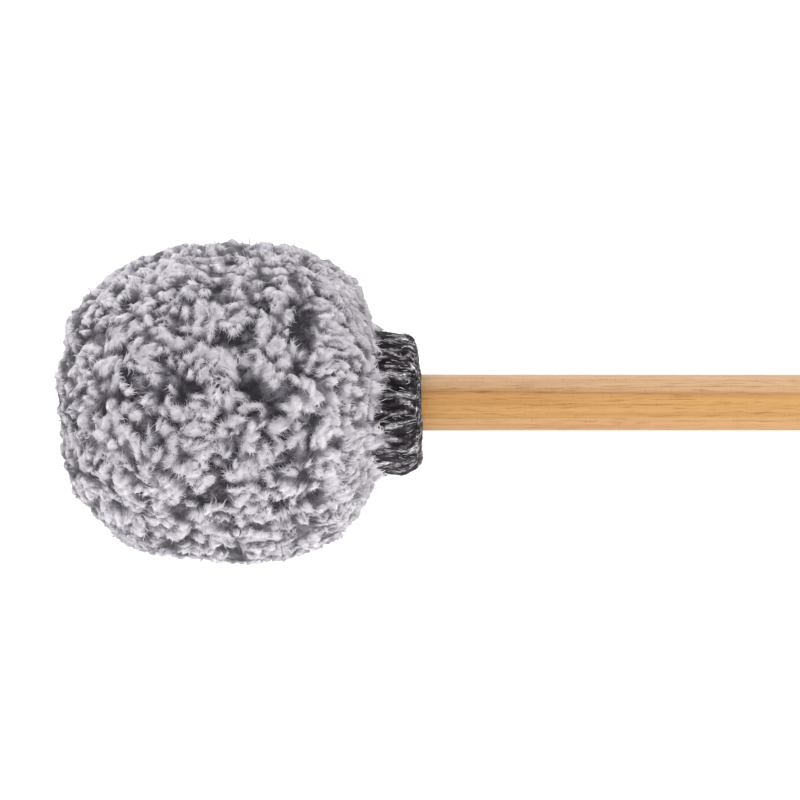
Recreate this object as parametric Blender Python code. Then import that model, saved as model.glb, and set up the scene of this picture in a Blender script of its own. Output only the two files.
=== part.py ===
"""Gong mallet with a fleece-covered head, lying on a table at its real size.

The mallet is built in layers along its own axis, which runs from the head's tip (low x) to the
butt (high x), with zero at the shaft's head end. Every layer takes its size from the one below it
and its own thickness. At the end the mallet is laid down on its side: the head and the rim of the
butt touch the table, which is the plane z = 0. Metres, +Z up.
"""

import math

import bmesh
import bpy
from mathutils import Matrix, Vector, noise

# Driving dimensions

SHAFT_DIAMETER = 0.0159  # five-eighths of an inch, a stock dowel
SHAFT_LENGTH = 0.356
BUTT_ROUND = 0.0016

CORE_DIAMETER = 0.035
CORE_LENGTH = 0.0457
CORE_CHAMFER = 0.0008

WEIGHT_DIAMETER = 0.027
WEIGHT_LENGTH = 0.028
WEIGHT_CHAMFER = 0.0006

WASHER_DIAMETER = 0.031
WASHER_THICKNESS = 0.0016
WASHER_HOLE_DIAMETER = 0.0056

SCREW_DIAMETER = 0.0048
SCREW_LENGTH = 0.032
SCREW_POINT = 0.004
SCREW_HEAD_DIAMETER = 0.009
SCREW_HEAD_HEIGHT = 0.0028
SCREW_SLOT_WIDTH = 0.0012
SCREW_SLOT_DEPTH = 0.0011

PAD_THICKNESS = 0.0038
INNER_WRAP = 0.0025
OUTER_WRAP = 0.004
WRAP_ROUND = 0.003
THREAD_SEAT_INSET = 0.0055  # from each end of the wrap to the seat of its thread

THREAD_DIAMETER = 0.0011
THREAD_TURNS = 4

WADDING_FRONT = 0.008
WADDING_SIDE = 0.0104
WADDING_REAR = 0.0072
BELLY_PLACE = 0.0256  # the head is widest here, behind the shaft's head end
FRONT_SQUARENESS = 2.55  # 2 is an ellipse, and more is squarer
REAR_SQUARENESS = 2.8

LINER = 0.0005
LINER_HEM = 0.0015  # the liner's neck past its tie
BACKING = 0.0012  # the knitted ground of the fleece
PILE = 0.008
LUMP_HEIGHT = 0.002
LUMP_SPACING = 0.013

CUFF_DIAMETER = 0.04
CUFF_LENGTH = 0.0144
CUFF_LIP = 0.0018  # the wall that draws in round the shaft
CUFF_FRONT_ROUND = 0.0015
CUFF_REAR_ROUND = 0.0045
CUFF_SEAT_DEPTH = 0.0037  # how far the pile stands round the cuff
CUFF_LUMP_HEIGHT = 0.0005
CUFF_LUMP_SPACING = 0.006

DRAWCORD_DIAMETER = 0.0024
DRAWCORD_GAP_ANGLE = math.radians(34)  # the stretch of the ring that the knot takes
KNOT_LENGTH = 0.0046
KNOT_HEIGHT = 0.0029

SETTLE = 0.0012  # how far the soft head gives way where it lies on the table

# Clearances

FIT = 0.0003  # between pieces that touch

# Counts

SIDES = 48  # round the pieces that show
INNER_SIDES = 32  # round the pieces inside
THREAD_SIDES = 24
SMALL_SIDES = 16
COVER_SIDES = 72
QUARTER_STEPS = 15  # along a quarter of the cover's outline
INNER_QUARTER_STEPS = 5
ROUND_STEPS = 3
LUMP_OCTAVES = 2

# Worked out from the values above

shaft_radius = SHAFT_DIAMETER / 2
bore_radius = shaft_radius + FIT
core_radius = CORE_DIAMETER / 2
inner_wrap_radius = core_radius + FIT + INNER_WRAP
outer_wrap_radius = inner_wrap_radius + FIT + OUTER_WRAP
pad_radius = outer_wrap_radius - WRAP_ROUND

washer_front = -FIT - WASHER_THICKNESS
pad_back = washer_front - FIT
pad_front = pad_back - PAD_THICKNESS
wrap_front = pad_back + FIT
wrap_rear = CORE_LENGTH
rear_pad_front = CORE_LENGTH + FIT
rear_pad_rear = rear_pad_front + PAD_THICKNESS

wadding_front = pad_front - FIT - WADDING_FRONT
wadding_radius = outer_wrap_radius + FIT + WADDING_SIDE
wadding_rear = rear_pad_rear + FIT + WADDING_REAR

liner_inside = FIT  # these count outwards from the wadding's surface
liner_outside = liner_inside + LINER
cover_inside = liner_outside + FIT
cover_outside = cover_inside + BACKING + PILE

winding_width = THREAD_TURNS * THREAD_DIAMETER
liner_neck_radius = bore_radius + LINER
tie_start = wadding_rear + liner_outside + FIT
tie_end = tie_start + winding_width
tie_radius = liner_neck_radius + FIT + THREAD_DIAMETER
liner_end = tie_end + LINER_HEM

cover_neck_bore = tie_radius + FIT
cover_neck_radius = cover_neck_bore + BACKING
cover_rear = wadding_rear + cover_outside
cuff_seat = cover_rear - CUFF_SEAT_DEPTH
cuff_radius = CUFF_DIAMETER / 2
cuff_front = cuff_seat + FIT
cuff_rear = cuff_front + CUFF_LENGTH
cuff_lip_front = cuff_rear - CUFF_LIP
cuff_bore = cover_neck_radius + FIT
drawcord_place = cuff_lip_front - FIT - DRAWCORD_DIAMETER / 2
drawcord_ring_radius = bore_radius + DRAWCORD_DIAMETER / 2
cover_neck_end = drawcord_place - DRAWCORD_DIAMETER / 2 - FIT

butt = SHAFT_LENGTH


def empty_the_scene():
    for thing in list(bpy.data.objects):
        bpy.data.objects.remove(thing, do_unlink=True)


def material(name, colour, roughness, metallic=0.0):
    made = bpy.data.materials.new(name)
    made.use_nodes = True
    shader = made.node_tree.nodes["Principled BSDF"]
    shader.inputs["Base Color"].default_value = (*colour, 1.0)
    shader.inputs["Roughness"].default_value = roughness
    shader.inputs["Metallic"].default_value = metallic
    made.diffuse_color = (*colour, 1.0)
    return made


def finished(name, form, look, parent):
    """The bmesh as a named object that hangs on the mallet's axis."""
    bmesh.ops.recalc_face_normals(form, faces=form.faces)
    mesh = bpy.data.meshes.new(name)
    form.to_mesh(mesh)
    form.free()
    mesh.shade_smooth()
    mesh.set_sharp_from_angle(angle=math.radians(35))
    mesh.materials.append(look)
    piece = bpy.data.objects.new(name, mesh)
    bpy.context.collection.objects.link(piece)
    piece.parent = parent
    return piece


def turned(outline, sides, closed):
    """A body turned from (x, radius) points: a closed outline, or one that starts and ends on the axis.

    Its first side is at the top, and with an even count its lowest points are a ring's corners.
    """
    form = bmesh.new()
    corners = [form.verts.new((x, 0.0, radius)) for x, radius in outline]
    pairs = zip(corners, corners[1:] + corners[:1]) if closed else zip(corners, corners[1:])
    edges = [form.edges.new(pair) for pair in pairs]
    bmesh.ops.spin(
        form,
        geom=corners + edges,
        axis=(1, 0, 0),
        cent=(0, 0, 0),
        angle=math.tau,
        steps=sides,
        use_merge=True,
    )
    bmesh.ops.remove_doubles(form, verts=form.verts, dist=1e-7)
    return form


def arc(centre_x, centre_radius, radius, start, end, steps=ROUND_STEPS):
    """Points of an arc in the outline's plane. Angles are in degrees: 0 is +x, and 90 is outwards."""
    turns = [math.radians(start + (end - start) * i / steps) for i in range(steps + 1)]
    return [(centre_x + radius * math.cos(a), centre_radius + radius * math.sin(a)) for a in turns]


def head_outline(outwards, rear_radius, steps):
    """The head's rounded outline, this far outside the wadding, from its front pole to a radius at its rear.

    It is two quarters of a squarish ellipse that meet at the belly.
    """
    widest = wadding_radius + outwards
    front_length = BELLY_PLACE - wadding_front + outwards
    rear_length = wadding_rear - BELLY_PLACE + outwards
    last = math.asin((rear_radius / widest) ** (REAR_SQUARENESS / 2))
    points = []
    for i in range(steps + 1):
        angle = math.pi / 2 * i / steps
        along = front_length * math.cos(angle) ** (2 / FRONT_SQUARENESS) if i < steps else 0.0
        points.append((BELLY_PLACE - along, widest * math.sin(angle) ** (2 / FRONT_SQUARENESS)))
    for i in range(1, steps + 1):
        angle = math.pi / 2 + (last - math.pi / 2) * i / steps
        along = rear_length * math.cos(angle) ** (2 / REAR_SQUARENESS)
        points.append((BELLY_PLACE + along, widest * math.sin(angle) ** (2 / REAR_SQUARENESS)))
    return points


def roughen(form, touched, height, spacing):
    """Moves these vertices in and out along their normals, in lumps of this height and spacing."""
    form.normal_update()
    moves = [
        (v, v.normal * height * noise.fractal(v.co / spacing, 1.0, 2.0, LUMP_OCTAVES)) for v in touched
    ]
    for v, move in moves:
        v.co += move


def make_shaft(parent):
    pilot_radius = SCREW_DIAMETER / 2 + FIT
    pilot_depth = SCREW_LENGTH - SCREW_POINT + FIT
    outline = [
        (pilot_depth + SCREW_POINT, 0.0),
        (pilot_depth, pilot_radius),
        (0.0, pilot_radius),
        (0.0, shaft_radius),
        (cuff_rear, shaft_radius),
        *arc(butt - BUTT_ROUND, shaft_radius - BUTT_ROUND, BUTT_ROUND, 90, 0),
        (butt, 0.0),
    ]
    look = material("shaft_wood", (0.72, 0.46, 0.22), 0.5)
    return finished("shaft", turned(outline, SIDES, closed=False), look, parent), outline


def make_core(parent):
    pocket_radius = WEIGHT_DIAMETER / 2 + FIT
    pocket_depth = WEIGHT_LENGTH + FIT
    outline = [
        (0.0, pocket_radius),
        (0.0, core_radius - CORE_CHAMFER),
        (CORE_CHAMFER, core_radius),
        (CORE_LENGTH - CORE_CHAMFER, core_radius),
        (CORE_LENGTH, core_radius - CORE_CHAMFER),
        (CORE_LENGTH, bore_radius),
        (pocket_depth, bore_radius),
        (pocket_depth, pocket_radius),
    ]
    look = material("core_wood", (0.62, 0.42, 0.24), 0.6)
    finished("core", turned(outline, INNER_SIDES, closed=True), look, parent)


def make_weight(parent):
    radius = WEIGHT_DIAMETER / 2
    outline = [
        (0.0, bore_radius),
        (0.0, radius - WEIGHT_CHAMFER),
        (WEIGHT_CHAMFER, radius),
        (WEIGHT_LENGTH - WEIGHT_CHAMFER, radius),
        (WEIGHT_LENGTH, radius - WEIGHT_CHAMFER),
        (WEIGHT_LENGTH, bore_radius),
    ]
    look = material("weight_steel", (0.45, 0.45, 0.46), 0.35, 1.0)
    finished("weight_sleeve", turned(outline, INNER_SIDES, closed=True), look, parent)


def make_washer(parent):
    outline = [
        (washer_front, WASHER_HOLE_DIAMETER / 2),
        (washer_front, WASHER_DIAMETER / 2),
        (washer_front + WASHER_THICKNESS, WASHER_DIAMETER / 2),
        (washer_front + WASHER_THICKNESS, WASHER_HOLE_DIAMETER / 2),
    ]
    look = material("washer_steel", (0.55, 0.55, 0.56), 0.3, 1.0)
    finished("end_washer", turned(outline, INNER_SIDES, closed=True), look, parent)


def make_screw(parent):
    head_back = pad_back
    head_radius = SCREW_HEAD_DIAMETER / 2
    crown = head_back - SCREW_HEAD_HEIGHT
    dome = SCREW_HEAD_HEIGHT / 3
    radius = SCREW_DIAMETER / 2
    outline = [
        (crown, 0.0),
        (crown, head_radius - dome),
        (crown + dome, head_radius),
        (head_back, head_radius),
        (head_back, radius),
        (SCREW_LENGTH - SCREW_POINT, radius),
        (SCREW_LENGTH, 0.0),
    ]
    look = material("screw_steel", (0.6, 0.58, 0.5), 0.3, 1.0)
    screw = finished("end_screw", turned(outline, THREAD_SIDES, closed=False), look, parent)

    slot = bmesh.new()
    bmesh.ops.create_cube(slot, size=1.0)
    size = Vector((2 * SCREW_SLOT_DEPTH, 2 * SCREW_HEAD_DIAMETER, SCREW_SLOT_WIDTH))
    bmesh.ops.scale(slot, vec=size, verts=slot.verts)
    bmesh.ops.translate(slot, vec=(crown, 0, 0), verts=slot.verts)
    cutter = finished("screw_slot_cutter", slot, look, parent)
    cutter.hide_render = True
    cutter.display_type = "WIRE"
    cut = screw.modifiers.new("slot", "BOOLEAN")
    cut.operation = "DIFFERENCE"
    cut.object = cutter


def make_pads(parent):
    look = material("pad_felt", (0.55, 0.53, 0.5), 0.95)
    hole = SCREW_HEAD_DIAMETER / 2 + FIT
    for name, start, bore in (
        ("front_pad", pad_front, hole),
        ("rear_pad", rear_pad_front, bore_radius),
    ):
        end = start + PAD_THICKNESS
        outline = [(start, bore), (start, pad_radius), (end, pad_radius), (end, bore)]
        finished(name, turned(outline, INNER_SIDES, closed=True), look, parent)


def make_inner_wrap(parent):
    inside = core_radius + FIT
    outline = [
        (wrap_front, inside),
        (wrap_front, inner_wrap_radius),
        (wrap_rear, inner_wrap_radius),
        (wrap_rear, inside),
    ]
    look = material("firm_felt", (0.42, 0.4, 0.38), 0.95)
    finished("inner_wrap", turned(outline, INNER_SIDES, closed=True), look, parent)


def thread_seats():
    """Where each thread lies along the wrap: its start and end."""
    front = wrap_front + THREAD_SEAT_INSET
    rear = wrap_rear - THREAD_SEAT_INSET
    return {
        "wrap_thread_front": (front, front + winding_width),
        "wrap_thread_rear": (rear - winding_width, rear),
    }


def make_outer_wrap(parent):
    inside = inner_wrap_radius + FIT
    corner = outer_wrap_radius - WRAP_ROUND
    seat_radius = outer_wrap_radius - THREAD_DIAMETER - FIT
    outline = [(wrap_front, inside)]
    outline += arc(wrap_front + WRAP_ROUND, corner, WRAP_ROUND, 180, 90)
    for start, end in thread_seats().values():
        outline += [
            (start - FIT, outer_wrap_radius),
            (start - FIT, seat_radius),
            (end + FIT, seat_radius),
            (end + FIT, outer_wrap_radius),
        ]
    outline += arc(wrap_rear - WRAP_ROUND, corner, WRAP_ROUND, 90, 0)
    outline += [(wrap_rear, inside)]
    look = material("soft_felt", (0.68, 0.66, 0.62), 0.95)
    finished("outer_wrap", turned(outline, INNER_SIDES, closed=True), look, parent)


def winding(name, start, inside, look, parent):
    """A thread winding as one ribbed ring, with a rib for each turn."""
    end = start + winding_width
    outline = [(end, inside), (start, inside)]
    for turn in range(THREAD_TURNS):
        middle = start + (turn + 0.5) * THREAD_DIAMETER
        quarter = THREAD_DIAMETER / 4
        outline += [
            (middle - quarter, inside + THREAD_DIAMETER),
            (middle + quarter, inside + THREAD_DIAMETER),
        ]
        if turn < THREAD_TURNS - 1:
            outline.append((middle + THREAD_DIAMETER / 2, inside + THREAD_DIAMETER * 0.6))
    finished(name, turned(outline, THREAD_SIDES, closed=True), look, parent)


def make_windings(parent):
    look = material("waxed_thread", (0.75, 0.7, 0.58), 0.7)
    for name, (start, end) in thread_seats().items():
        winding(name, start, outer_wrap_radius - THREAD_DIAMETER, look, parent)
    winding("liner_tie", tie_start, liner_neck_radius + FIT, look, parent)


def make_wadding(parent):
    room = WRAP_ROUND + FIT
    corner = outer_wrap_radius - WRAP_ROUND
    pad_room = pad_radius + FIT
    body = [
        (pad_front - FIT, 0.0),
        (pad_front - FIT, pad_room),
        (wrap_front - FIT, pad_room),
        *arc(wrap_front + WRAP_ROUND, corner, room, 180, 90)[1:],
        *arc(wrap_rear - WRAP_ROUND, corner, room, 90, 0)[:-1],
        (wrap_rear + FIT, pad_room),
        (rear_pad_rear + FIT, pad_room),
        (rear_pad_rear + FIT, bore_radius),
    ]
    outline = head_outline(0.0, bore_radius, INNER_QUARTER_STEPS) + body[::-1]
    look = material("white_wadding", (0.86, 0.85, 0.82), 1.0)
    finished("wadding", turned(outline, INNER_SIDES, closed=False), look, parent)


def make_liner(parent):
    outside = head_outline(liner_outside, liner_neck_radius, INNER_QUARTER_STEPS)
    inside = head_outline(liner_inside, bore_radius, INNER_QUARTER_STEPS)
    neck = [(liner_end, liner_neck_radius), (liner_end, bore_radius)]
    look = material("liner_knit", (0.8, 0.79, 0.77), 0.9)
    finished("liner", turned(outside + neck + inside[::-1], INNER_SIDES, closed=False), look, parent)


def make_cover(parent):
    """The fleece: smooth inside, lumpy outside, with a seat for the cuff and a neck that runs under it."""
    seat_radius = cuff_radius + FIT
    outside = head_outline(cover_outside, seat_radius, QUARTER_STEPS)
    inside = head_outline(cover_inside, cover_neck_bore, INNER_QUARTER_STEPS)
    neck = [
        (cuff_seat, seat_radius),
        (cuff_seat, cover_neck_radius),
        (cover_neck_end, cover_neck_radius),
        (cover_neck_end, cover_neck_bore),
    ]
    form = turned(outside + neck + inside[::-1], COVER_SIDES, closed=False)
    backing_top = wadding_radius + cover_inside + BACKING
    lumpy = [v for v in form.verts if on_pile(v.co, backing_top)]
    roughen(form, lumpy, LUMP_HEIGHT, LUMP_SPACING)
    look = material("fleece", (0.55, 0.53, 0.57), 1.0)
    return finished("fleece_cover", form, look, parent), outside


def on_pile(point, backing_top):
    """Whether a point of the cover lies on its outer surface, clear of the cuff's seat."""
    widest = backing_top
    front_length = widest - wadding_radius + BELLY_PLACE - wadding_front
    rear_length = widest - wadding_radius + wadding_rear - BELLY_PLACE
    ahead = point.x < BELLY_PLACE
    squareness = FRONT_SQUARENESS if ahead else REAR_SQUARENESS
    along = abs(point.x - BELLY_PLACE) / (front_length if ahead else rear_length)
    across = math.hypot(point.y, point.z)
    beyond_seat = across > cuff_radius + 2 * FIT or ahead
    return beyond_seat and along**squareness + (across / widest) ** squareness > 1


def make_cuff(parent):
    outline = [
        (cuff_front, cuff_bore),
        *arc(cuff_front + CUFF_FRONT_ROUND, cuff_radius - CUFF_FRONT_ROUND, CUFF_FRONT_ROUND, 180, 90),
        *arc(cuff_rear - CUFF_REAR_ROUND, cuff_radius - CUFF_REAR_ROUND, CUFF_REAR_ROUND, 90, 0),
        (cuff_rear, bore_radius),
        (cuff_lip_front, bore_radius),
        (cuff_lip_front, cuff_bore),
    ]
    form = turned(outline, SIDES, closed=True)
    clear_of_seat = cuff_seat + CUFF_SEAT_DEPTH + FIT
    lumpy = [
        v
        for v in form.verts
        if v.co.x > clear_of_seat and math.hypot(v.co.y, v.co.z) > cuff_bore + CUFF_LUMP_HEIGHT
    ]
    roughen(form, lumpy, CUFF_LUMP_HEIGHT, CUFF_LUMP_SPACING)
    look = material("cuff_knit", (0.09, 0.085, 0.1), 0.95)
    finished("cuff", form, look, parent)


def make_drawcord(parent):
    look = material("cord_cotton", (0.16, 0.15, 0.17), 0.9)
    cord = bmesh.new()
    circle = bmesh.ops.create_circle(
        cord, cap_ends=True, segments=SMALL_SIDES // 2, radius=DRAWCORD_DIAMETER / 2
    )
    upright = Matrix.Rotation(math.pi / 2, 4, "X")
    place = Matrix.Translation((drawcord_place, 0, drawcord_ring_radius))
    bmesh.ops.transform(cord, matrix=place @ upright, verts=circle["verts"])
    half_gap = DRAWCORD_GAP_ANGLE / 2
    around = Matrix.Rotation(half_gap, 3, "X")
    bmesh.ops.rotate(cord, cent=(0, 0, 0), matrix=around, verts=cord.verts)
    end = cord.faces[:]
    bmesh.ops.spin(
        cord,
        geom=end,
        axis=(1, 0, 0),
        cent=(0, 0, 0),
        angle=math.tau - DRAWCORD_GAP_ANGLE,
        steps=INNER_SIDES,
        use_duplicate=False,
    )
    finished("drawcord", cord, look, parent)

    knot = bmesh.new()
    bmesh.ops.create_uvsphere(knot, u_segments=SMALL_SIDES, v_segments=SMALL_SIDES // 2, radius=0.5)
    size = Vector((DRAWCORD_DIAMETER, KNOT_LENGTH, KNOT_HEIGHT))
    bmesh.ops.scale(knot, vec=size, verts=knot.verts)
    height = bore_radius + KNOT_HEIGHT / 2
    bmesh.ops.translate(knot, vec=(drawcord_place, 0, height), verts=knot.verts)
    finished("drawcord_knot", knot, look, parent)


def resting_tilt(head, shaft):
    """The axis's slope on the table, where the head, let down by SETTLE, and the butt reach the same level."""

    def reach(outline, tilt):
        return max(x * math.sin(tilt) + radius * math.cos(tilt) for x, radius in outline)

    low, high = 0.0, math.pi / 4
    for _ in range(60):
        tilt = (low + high) / 2
        if reach(head, tilt) - SETTLE > reach(shaft, tilt):
            low = tilt
        else:
            high = tilt
    return tilt, reach(shaft, tilt)


def lay_on_table(axis, cover, head, shaft):
    """Tilts the axis to its rest, flattens the fleece on the table and centres the whole over the origin."""
    tilt, height = resting_tilt(head, shaft)
    axis.rotation_euler = (0, tilt, 0)
    axis.location = (0, 0, height)
    bpy.context.view_layer.update()
    for v in cover.data.vertices:
        world = cover.matrix_world @ v.co
        if world.z < 0:
            world.z = 0
            v.co = cover.matrix_world.inverted() @ world
    points = [cover.matrix_world @ v.co for v in cover.data.vertices]
    butt_tip = axis.matrix_world @ Vector((butt, 0, shaft_radius - BUTT_ROUND))
    butt_rim = axis.matrix_world @ Vector((butt - BUTT_ROUND, 0, shaft_radius))
    low_x = min(p.x for p in points)
    high_x = max(butt_tip.x, butt_rim.x)
    low_y, high_y = min(p.y for p in points), max(p.y for p in points)
    axis.location.x -= (low_x + high_x) / 2
    axis.location.y -= (low_y + high_y) / 2
    bpy.context.view_layer.update()
    middle = axis.matrix_world @ Vector((butt, 0, 0))
    outwards = axis.matrix_world.to_3x3() @ Vector((1, 0, 0))
    print("tilt in degrees", round(math.degrees(tilt), 4))
    print("butt face at", [round(n, 6) for n in middle], "facing", [round(n, 6) for n in outwards])
    print("flat under the head at", flat_middle(cover))


def flat_middle(cover):
    """The middle of the fleece's flat patch on the table."""
    patch = [cover.matrix_world @ v.co for v in cover.data.vertices]
    patch = [p for p in patch if p.z < 1e-6]
    return [round(sum(p[i] for p in patch) / len(patch), 6) for i in range(3)], len(patch)


def build():
    empty_the_scene()
    axis = bpy.data.objects.new("mallet_axis", None)
    bpy.context.collection.objects.link(axis)
    shaft, shaft_outline = make_shaft(axis)
    make_core(axis)
    make_weight(axis)
    make_washer(axis)
    make_screw(axis)
    make_pads(axis)
    make_inner_wrap(axis)
    make_outer_wrap(axis)
    make_windings(axis)
    make_wadding(axis)
    make_liner(axis)
    cover, cover_outline = make_cover(axis)
    make_cuff(axis)
    make_drawcord(axis)
    lay_on_table(axis, cover, cover_outline, shaft_outline)


build()
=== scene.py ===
# %% [markdown]
# # A gong mallet with a fleece head
#
# This script dresses a gong mallet: a pale wooden shaft, and a big soft head in a cover of long
# fleece, drawn in round the shaft at a dark knitted cuff. The solids of the mallet come ready made
# and lie on the table as the real one would. Here each of them gets its real surface.
#
# The first cell loads those solids.

# %% Load the frame
import math

import bmesh
import bpy
import numpy as np
from mathutils import Matrix, Vector, kdtree, noise


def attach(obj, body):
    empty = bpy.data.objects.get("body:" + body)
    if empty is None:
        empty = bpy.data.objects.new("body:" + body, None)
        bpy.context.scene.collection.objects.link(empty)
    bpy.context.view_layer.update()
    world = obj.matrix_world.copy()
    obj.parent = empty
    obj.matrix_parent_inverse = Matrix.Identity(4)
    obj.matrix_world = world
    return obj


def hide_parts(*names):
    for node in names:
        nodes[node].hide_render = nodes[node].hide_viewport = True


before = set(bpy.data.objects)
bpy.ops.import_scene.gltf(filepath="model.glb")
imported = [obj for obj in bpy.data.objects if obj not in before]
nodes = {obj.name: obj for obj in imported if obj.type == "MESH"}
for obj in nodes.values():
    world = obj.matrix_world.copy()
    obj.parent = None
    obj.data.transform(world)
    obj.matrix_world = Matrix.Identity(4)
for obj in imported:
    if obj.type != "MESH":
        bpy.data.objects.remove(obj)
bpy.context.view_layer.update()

MM = 0.001
print("solids:", ", ".join(sorted(nodes)))

# %% [markdown]
# ## The mallet's own axis
#
# The mallet lies on its side, so its shaft slopes down a little towards the butt. It is far easier
# to model round an axis that runs straight along x, and to tip the finished meshes into place.
# The shaft's own corners give that axis: the direction in which they spread the most. Zero is the
# shaft's head end, and x grows towards the butt.

# %% Find the axis from the shaft


def points_of(obj):
    found = np.empty(len(obj.data.vertices) * 3)
    obj.data.vertices.foreach_get("co", found)
    return found.reshape(-1, 3)


shaft_points = np.unique(points_of(nodes["shaft"]).round(7), axis=0)
spread = np.linalg.svd(shaft_points - shaft_points.mean(0), full_matrices=False)[2]
along = Vector(spread[0] * math.copysign(1, spread[0][0]))
upwards = (Vector((0, 0, 1)) - along * along.z).normalized()
turn = Matrix((along, upwards.cross(along), upwards)).transposed()
level = shaft_points @ np.array(turn)
low, high = level.min(0), level.max(0)
TO_WORLD = turn.to_4x4() @ Matrix.Translation((low[0], *(low[1:] + high[1:]) / 2))
TO_AXIS = TO_WORLD.inverted()
WORLD_TURN = np.array(turn).T
print("the shaft slopes by", round(math.degrees(math.asin(-along.z)), 2), "degrees")

# %% [markdown]
# Now every solid can be measured along that axis: where it starts and ends, and how far out it
# reaches.

# %% Measure the solids


def moved(points, matrix):
    """Points, in an array whose last side is x, y, z, moved by a 4 by 4 matrix."""
    m = np.array(matrix)
    return points @ m[:3, :3].T + m[:3, 3]


def span(node, behind=-math.inf):
    """Where a solid starts and ends along the axis, and its smallest and largest radius there."""
    points = moved(points_of(nodes[node]), TO_AXIS)
    points = points[points[:, 0] > behind]
    radius = np.hypot(points[:, 1], points[:, 2])
    return points[:, 0].min(), points[:, 0].max(), radius.min(), radius.max()


_, butt, _, shaft_radius = span("shaft")
cuff_front, cuff_rear, shaft_hole, cuff_radius = span("cuff")
_, cover_end, cover_bore, _ = span("fleece_cover", behind=cuff_front)
print("cuff from", round(cuff_front, 4), "to", round(cuff_rear, 4), "and butt at", round(butt, 4))

# %% [markdown]
# ## Camera
#
# The photograph looks straight down on the mallet, square to its shaft, through a long lens. One
# pixel is 0.282 mm at the shaft. The camera hangs over the middle of that view, with its right
# along the shaft, and its distance follows from the lens.

# %% Set the camera
PIXEL = 0.2819 * MM
FRAME_PIXELS = 800
CUFF_COLUMN = 372  # where the cuff's front is
AXIS_ROW = 402.5  # of the shaft's middle
LENS = 110.0
SENSOR = 36.0


def new_object(name, data):
    made = bpy.data.objects.new(name, data)
    bpy.context.scene.collection.objects.link(made)
    return made


view_x = cuff_front + (FRAME_PIXELS / 2 - CUFF_COLUMN) * PIXEL
view_y = (AXIS_ROW - FRAME_PIXELS / 2) * PIXEL
distance = FRAME_PIXELS * PIXEL * LENS / SENSOR
camera = new_object("camera", bpy.data.cameras.new("camera"))
camera.data.lens = LENS
camera.data.sensor_width = SENSOR
camera.matrix_world = TO_WORLD @ Matrix.Translation((view_x, view_y, distance))
bpy.context.scene.camera = camera
print("the camera is", round(distance, 3), "m above the shaft")

# %% [markdown]
# ## Materials from nodes
#
# Every finish below is a small tree of shader nodes. A few helpers keep the trees short. One
# starts a material with its Principled shader. One adds a node and wires its inputs, which may be
# plain values or other nodes' outputs. The rest add the nodes that are needed most: sums, noise,
# colour ramps and bumps.

# %% Helpers for materials


def new_material(name, roughness, **sockets):
    made = bpy.data.materials.new(name)
    made.use_nodes = True
    shader = made.node_tree.nodes["Principled BSDF"]
    shader.inputs["Roughness"].default_value = roughness
    for key, value in sockets.items():
        shader.inputs[key.replace("_", " ")].default_value = value
    return made, made.node_tree, shader


def add(tree, kind, inputs=(), **settings):
    """A new node with these settings, and with its inputs set or linked by name or by place."""
    node = tree.nodes.new(kind)
    for key, value in settings.items():
        setattr(node, key, value)
    for key, value in dict(inputs).items():
        if isinstance(value, bpy.types.NodeSocket):
            tree.links.new(value, node.inputs[key])
        else:
            node.inputs[key].default_value = value
    return node


def ramp(tree, factor, stops):
    """A colour ramp with (place, colour) stops."""
    node = add(tree, "ShaderNodeValToRGB", {0: factor})
    elements = node.color_ramp.elements
    while len(elements) < len(stops):
        elements.new(0.5)
    for element, (place, colour) in zip(elements, stops):
        element.position = place
        element.color = (*colour, 1)
    return node.outputs["Color"]


def maths(tree, operation, *values):
    return add(tree, "ShaderNodeMath", dict(enumerate(values)), operation=operation).outputs[0]


def cloudy(tree, place, scale, detail):
    """Noise with this many waves a metre, and finer ones on top."""
    node = add(tree, "ShaderNodeTexNoise", {0: place, "Scale": scale, "Detail": detail})
    return node.outputs[0]


def finish(tree, shader, colour, height, strength, distance):
    """Gives a shader its colour, and bumps from a height."""
    tree.links.new(colour, shader.inputs["Base Color"])
    bump = add(
        tree, "ShaderNodeBump", {"Strength": strength, "Distance": distance, "Height": height}
    )
    tree.links.new(bump.outputs[0], shader.inputs["Normal"])


# %% [markdown]
# ## Meshes
#
# Most pieces are turned forms: an outline of (x, radius) points is spun round the x axis. A finished
# mesh is tipped into place by its vertices, so that its object stays at the origin. It stands in for a
# solid, which is hidden.

# %% Helpers for pieces


def finished(name, form):
    mesh = bpy.data.meshes.new(name)
    form.to_mesh(mesh)
    form.free()
    return mesh


def placed(name, form, look, node):
    """A bmesh made on the axis, as a smooth object in the world that rides on the mallet."""
    bmesh.ops.transform(form, matrix=TO_WORLD, verts=form.verts)
    return riding(finished(name, form), look, node)


def riding(mesh, look, node):
    mesh.shade_smooth()
    mesh.materials.append(look)
    piece = new_object(mesh.name, mesh)
    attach(piece, "root")
    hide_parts(node)
    print(mesh.name, "has", len(mesh.polygons), "faces")
    return piece


# %% Helpers for turned forms


def turned(x, radius, angle):
    """Places at these x and radii, and at these angles round the axis."""
    parts = np.broadcast_arrays(x, radius * np.cos(angle), radius * np.sin(angle))
    return np.stack(parts, -1)


def spun(outline, sides, closed=False):
    """An outline of (x, radius) points, turned round the axis."""
    form = bmesh.new()
    corners = [form.verts.new((x, 0.0, radius)) for x, radius in outline]
    pairs = zip(corners, corners[1:] + corners[:1]) if closed else zip(corners, corners[1:])
    edges = [form.edges.new(pair) for pair in pairs]
    bmesh.ops.spin(
        form, geom=corners + edges, axis=(1, 0, 0), cent=(0, 0, 0),
        angle=math.tau, steps=sides, use_merge=True,
    )
    bmesh.ops.remove_doubles(form, verts=form.verts, dist=1e-7)
    bmesh.ops.recalc_face_normals(form, faces=form.faces)
    return form


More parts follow.
